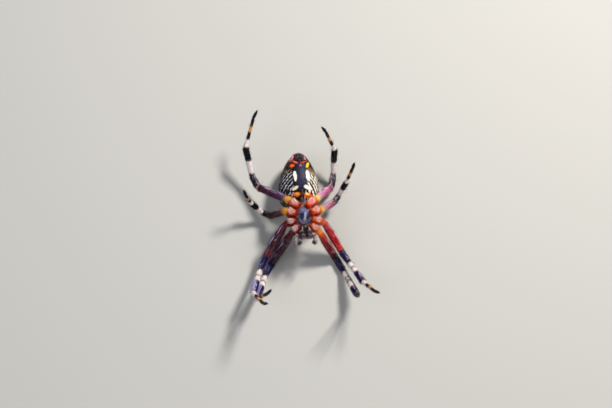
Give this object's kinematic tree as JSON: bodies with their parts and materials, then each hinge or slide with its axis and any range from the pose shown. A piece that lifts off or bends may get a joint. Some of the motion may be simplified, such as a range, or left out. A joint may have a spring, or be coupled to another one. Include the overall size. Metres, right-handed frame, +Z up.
{
  "type": "orb weaver spider",
  "caption": "Life-size spotted orb weaver spider, a still model lying on its back with its legs spread, showing the marked underside.",
  "frame": {"origin": "on the floor, at the middle of the model's box", "axes": "+X to the spider's own right, +Y along the body from the head to the spinnerets, +Z up out of the underside"},
  "size_m": [0.0182, 0.0296, 0.0101],
  "materials": {
    "abdomen_black": "hairy satin skin with cream and coral marks",
    "carapace_brown": "satin shell under short pale hairs",
    "sternum_navy": "satin shell with pale blue hairs",
    "mouthpart_dark": "polished dark shell",
    "palp_pale": "hairy skin with dark tips",
    "eye_black": "polished",
    "coxa_orange": "glossy translucent skin with white hairs",
    "femur_red": "glossy translucent skin with pale hairs",
    "leg_banded": "black and white bands under hairs",
    "foot_banded": "black, cream and orange bands under hairs"
  },
  "bodies": {
    "root": {"abdomen": "abdomen_black", "carapace": "carapace_brown", "sternum": "sternum_navy", "pedicel": "carapace_brown", "labium": "mouthpart_dark", "spinnerets": "mouthpart_dark", "endite_left": "mouthpart_dark", "chelicera_left": "mouthpart_dark", "fang_left": "mouthpart_dark", "pedipalp_left": "palp_pale", "eye_anterior_median_left": "eye_black", "eye_posterior_median_left": "eye_black", "eye_anterior_lateral_left": "eye_black", "eye_posterior_lateral_left": "eye_black", "endite_right": "mouthpart_dark", "chelicera_right": "mouthpart_dark", "fang_right": "mouthpart_dark", "pedipalp_right": "palp_pale", "eye_anterior_median_right": "eye_black", "eye_posterior_median_right": "eye_black", "eye_anterior_lateral_right": "eye_black", "eye_posterior_lateral_right": "eye_black", "coxa_1_left": "coxa_orange", "femur_1_left": "femur_red", "patella_tibia_1_left": "leg_banded", "metatarsus_tarsus_1_left": "foot_banded", "coxa_1_right": "coxa_orange", "femur_1_right": "femur_red", "patella_tibia_1_right": "leg_banded", "metatarsus_tarsus_1_right": "foot_banded", "coxa_2_left": "coxa_orange", "femur_2_left": "femur_red", "patella_tibia_2_left": "leg_banded", "metatarsus_tarsus_2_left": "foot_banded", "coxa_2_right": "coxa_orange", "femur_2_right": "femur_red", "patella_tibia_2_right": "leg_banded", "metatarsus_tarsus_2_right": "foot_banded", "coxa_3_left": "coxa_orange", "femur_3_left": "femur_red", "patella_tibia_3_left": "leg_banded", "metatarsus_tarsus_3_left": "foot_banded", "coxa_3_right": "coxa_orange", "femur_3_right": "femur_red", "patella_tibia_3_right": "leg_banded", "metatarsus_tarsus_3_right": "foot_banded", "coxa_4_left": "coxa_orange", "femur_4_left": "femur_red", "patella_tibia_4_left": "leg_banded", "metatarsus_tarsus_4_left": "foot_banded", "coxa_4_right": "coxa_orange", "femur_4_right": "femur_red", "patella_tibia_4_right": "leg_banded", "metatarsus_tarsus_4_right": "foot_banded"}
  },
  "joints": []
}
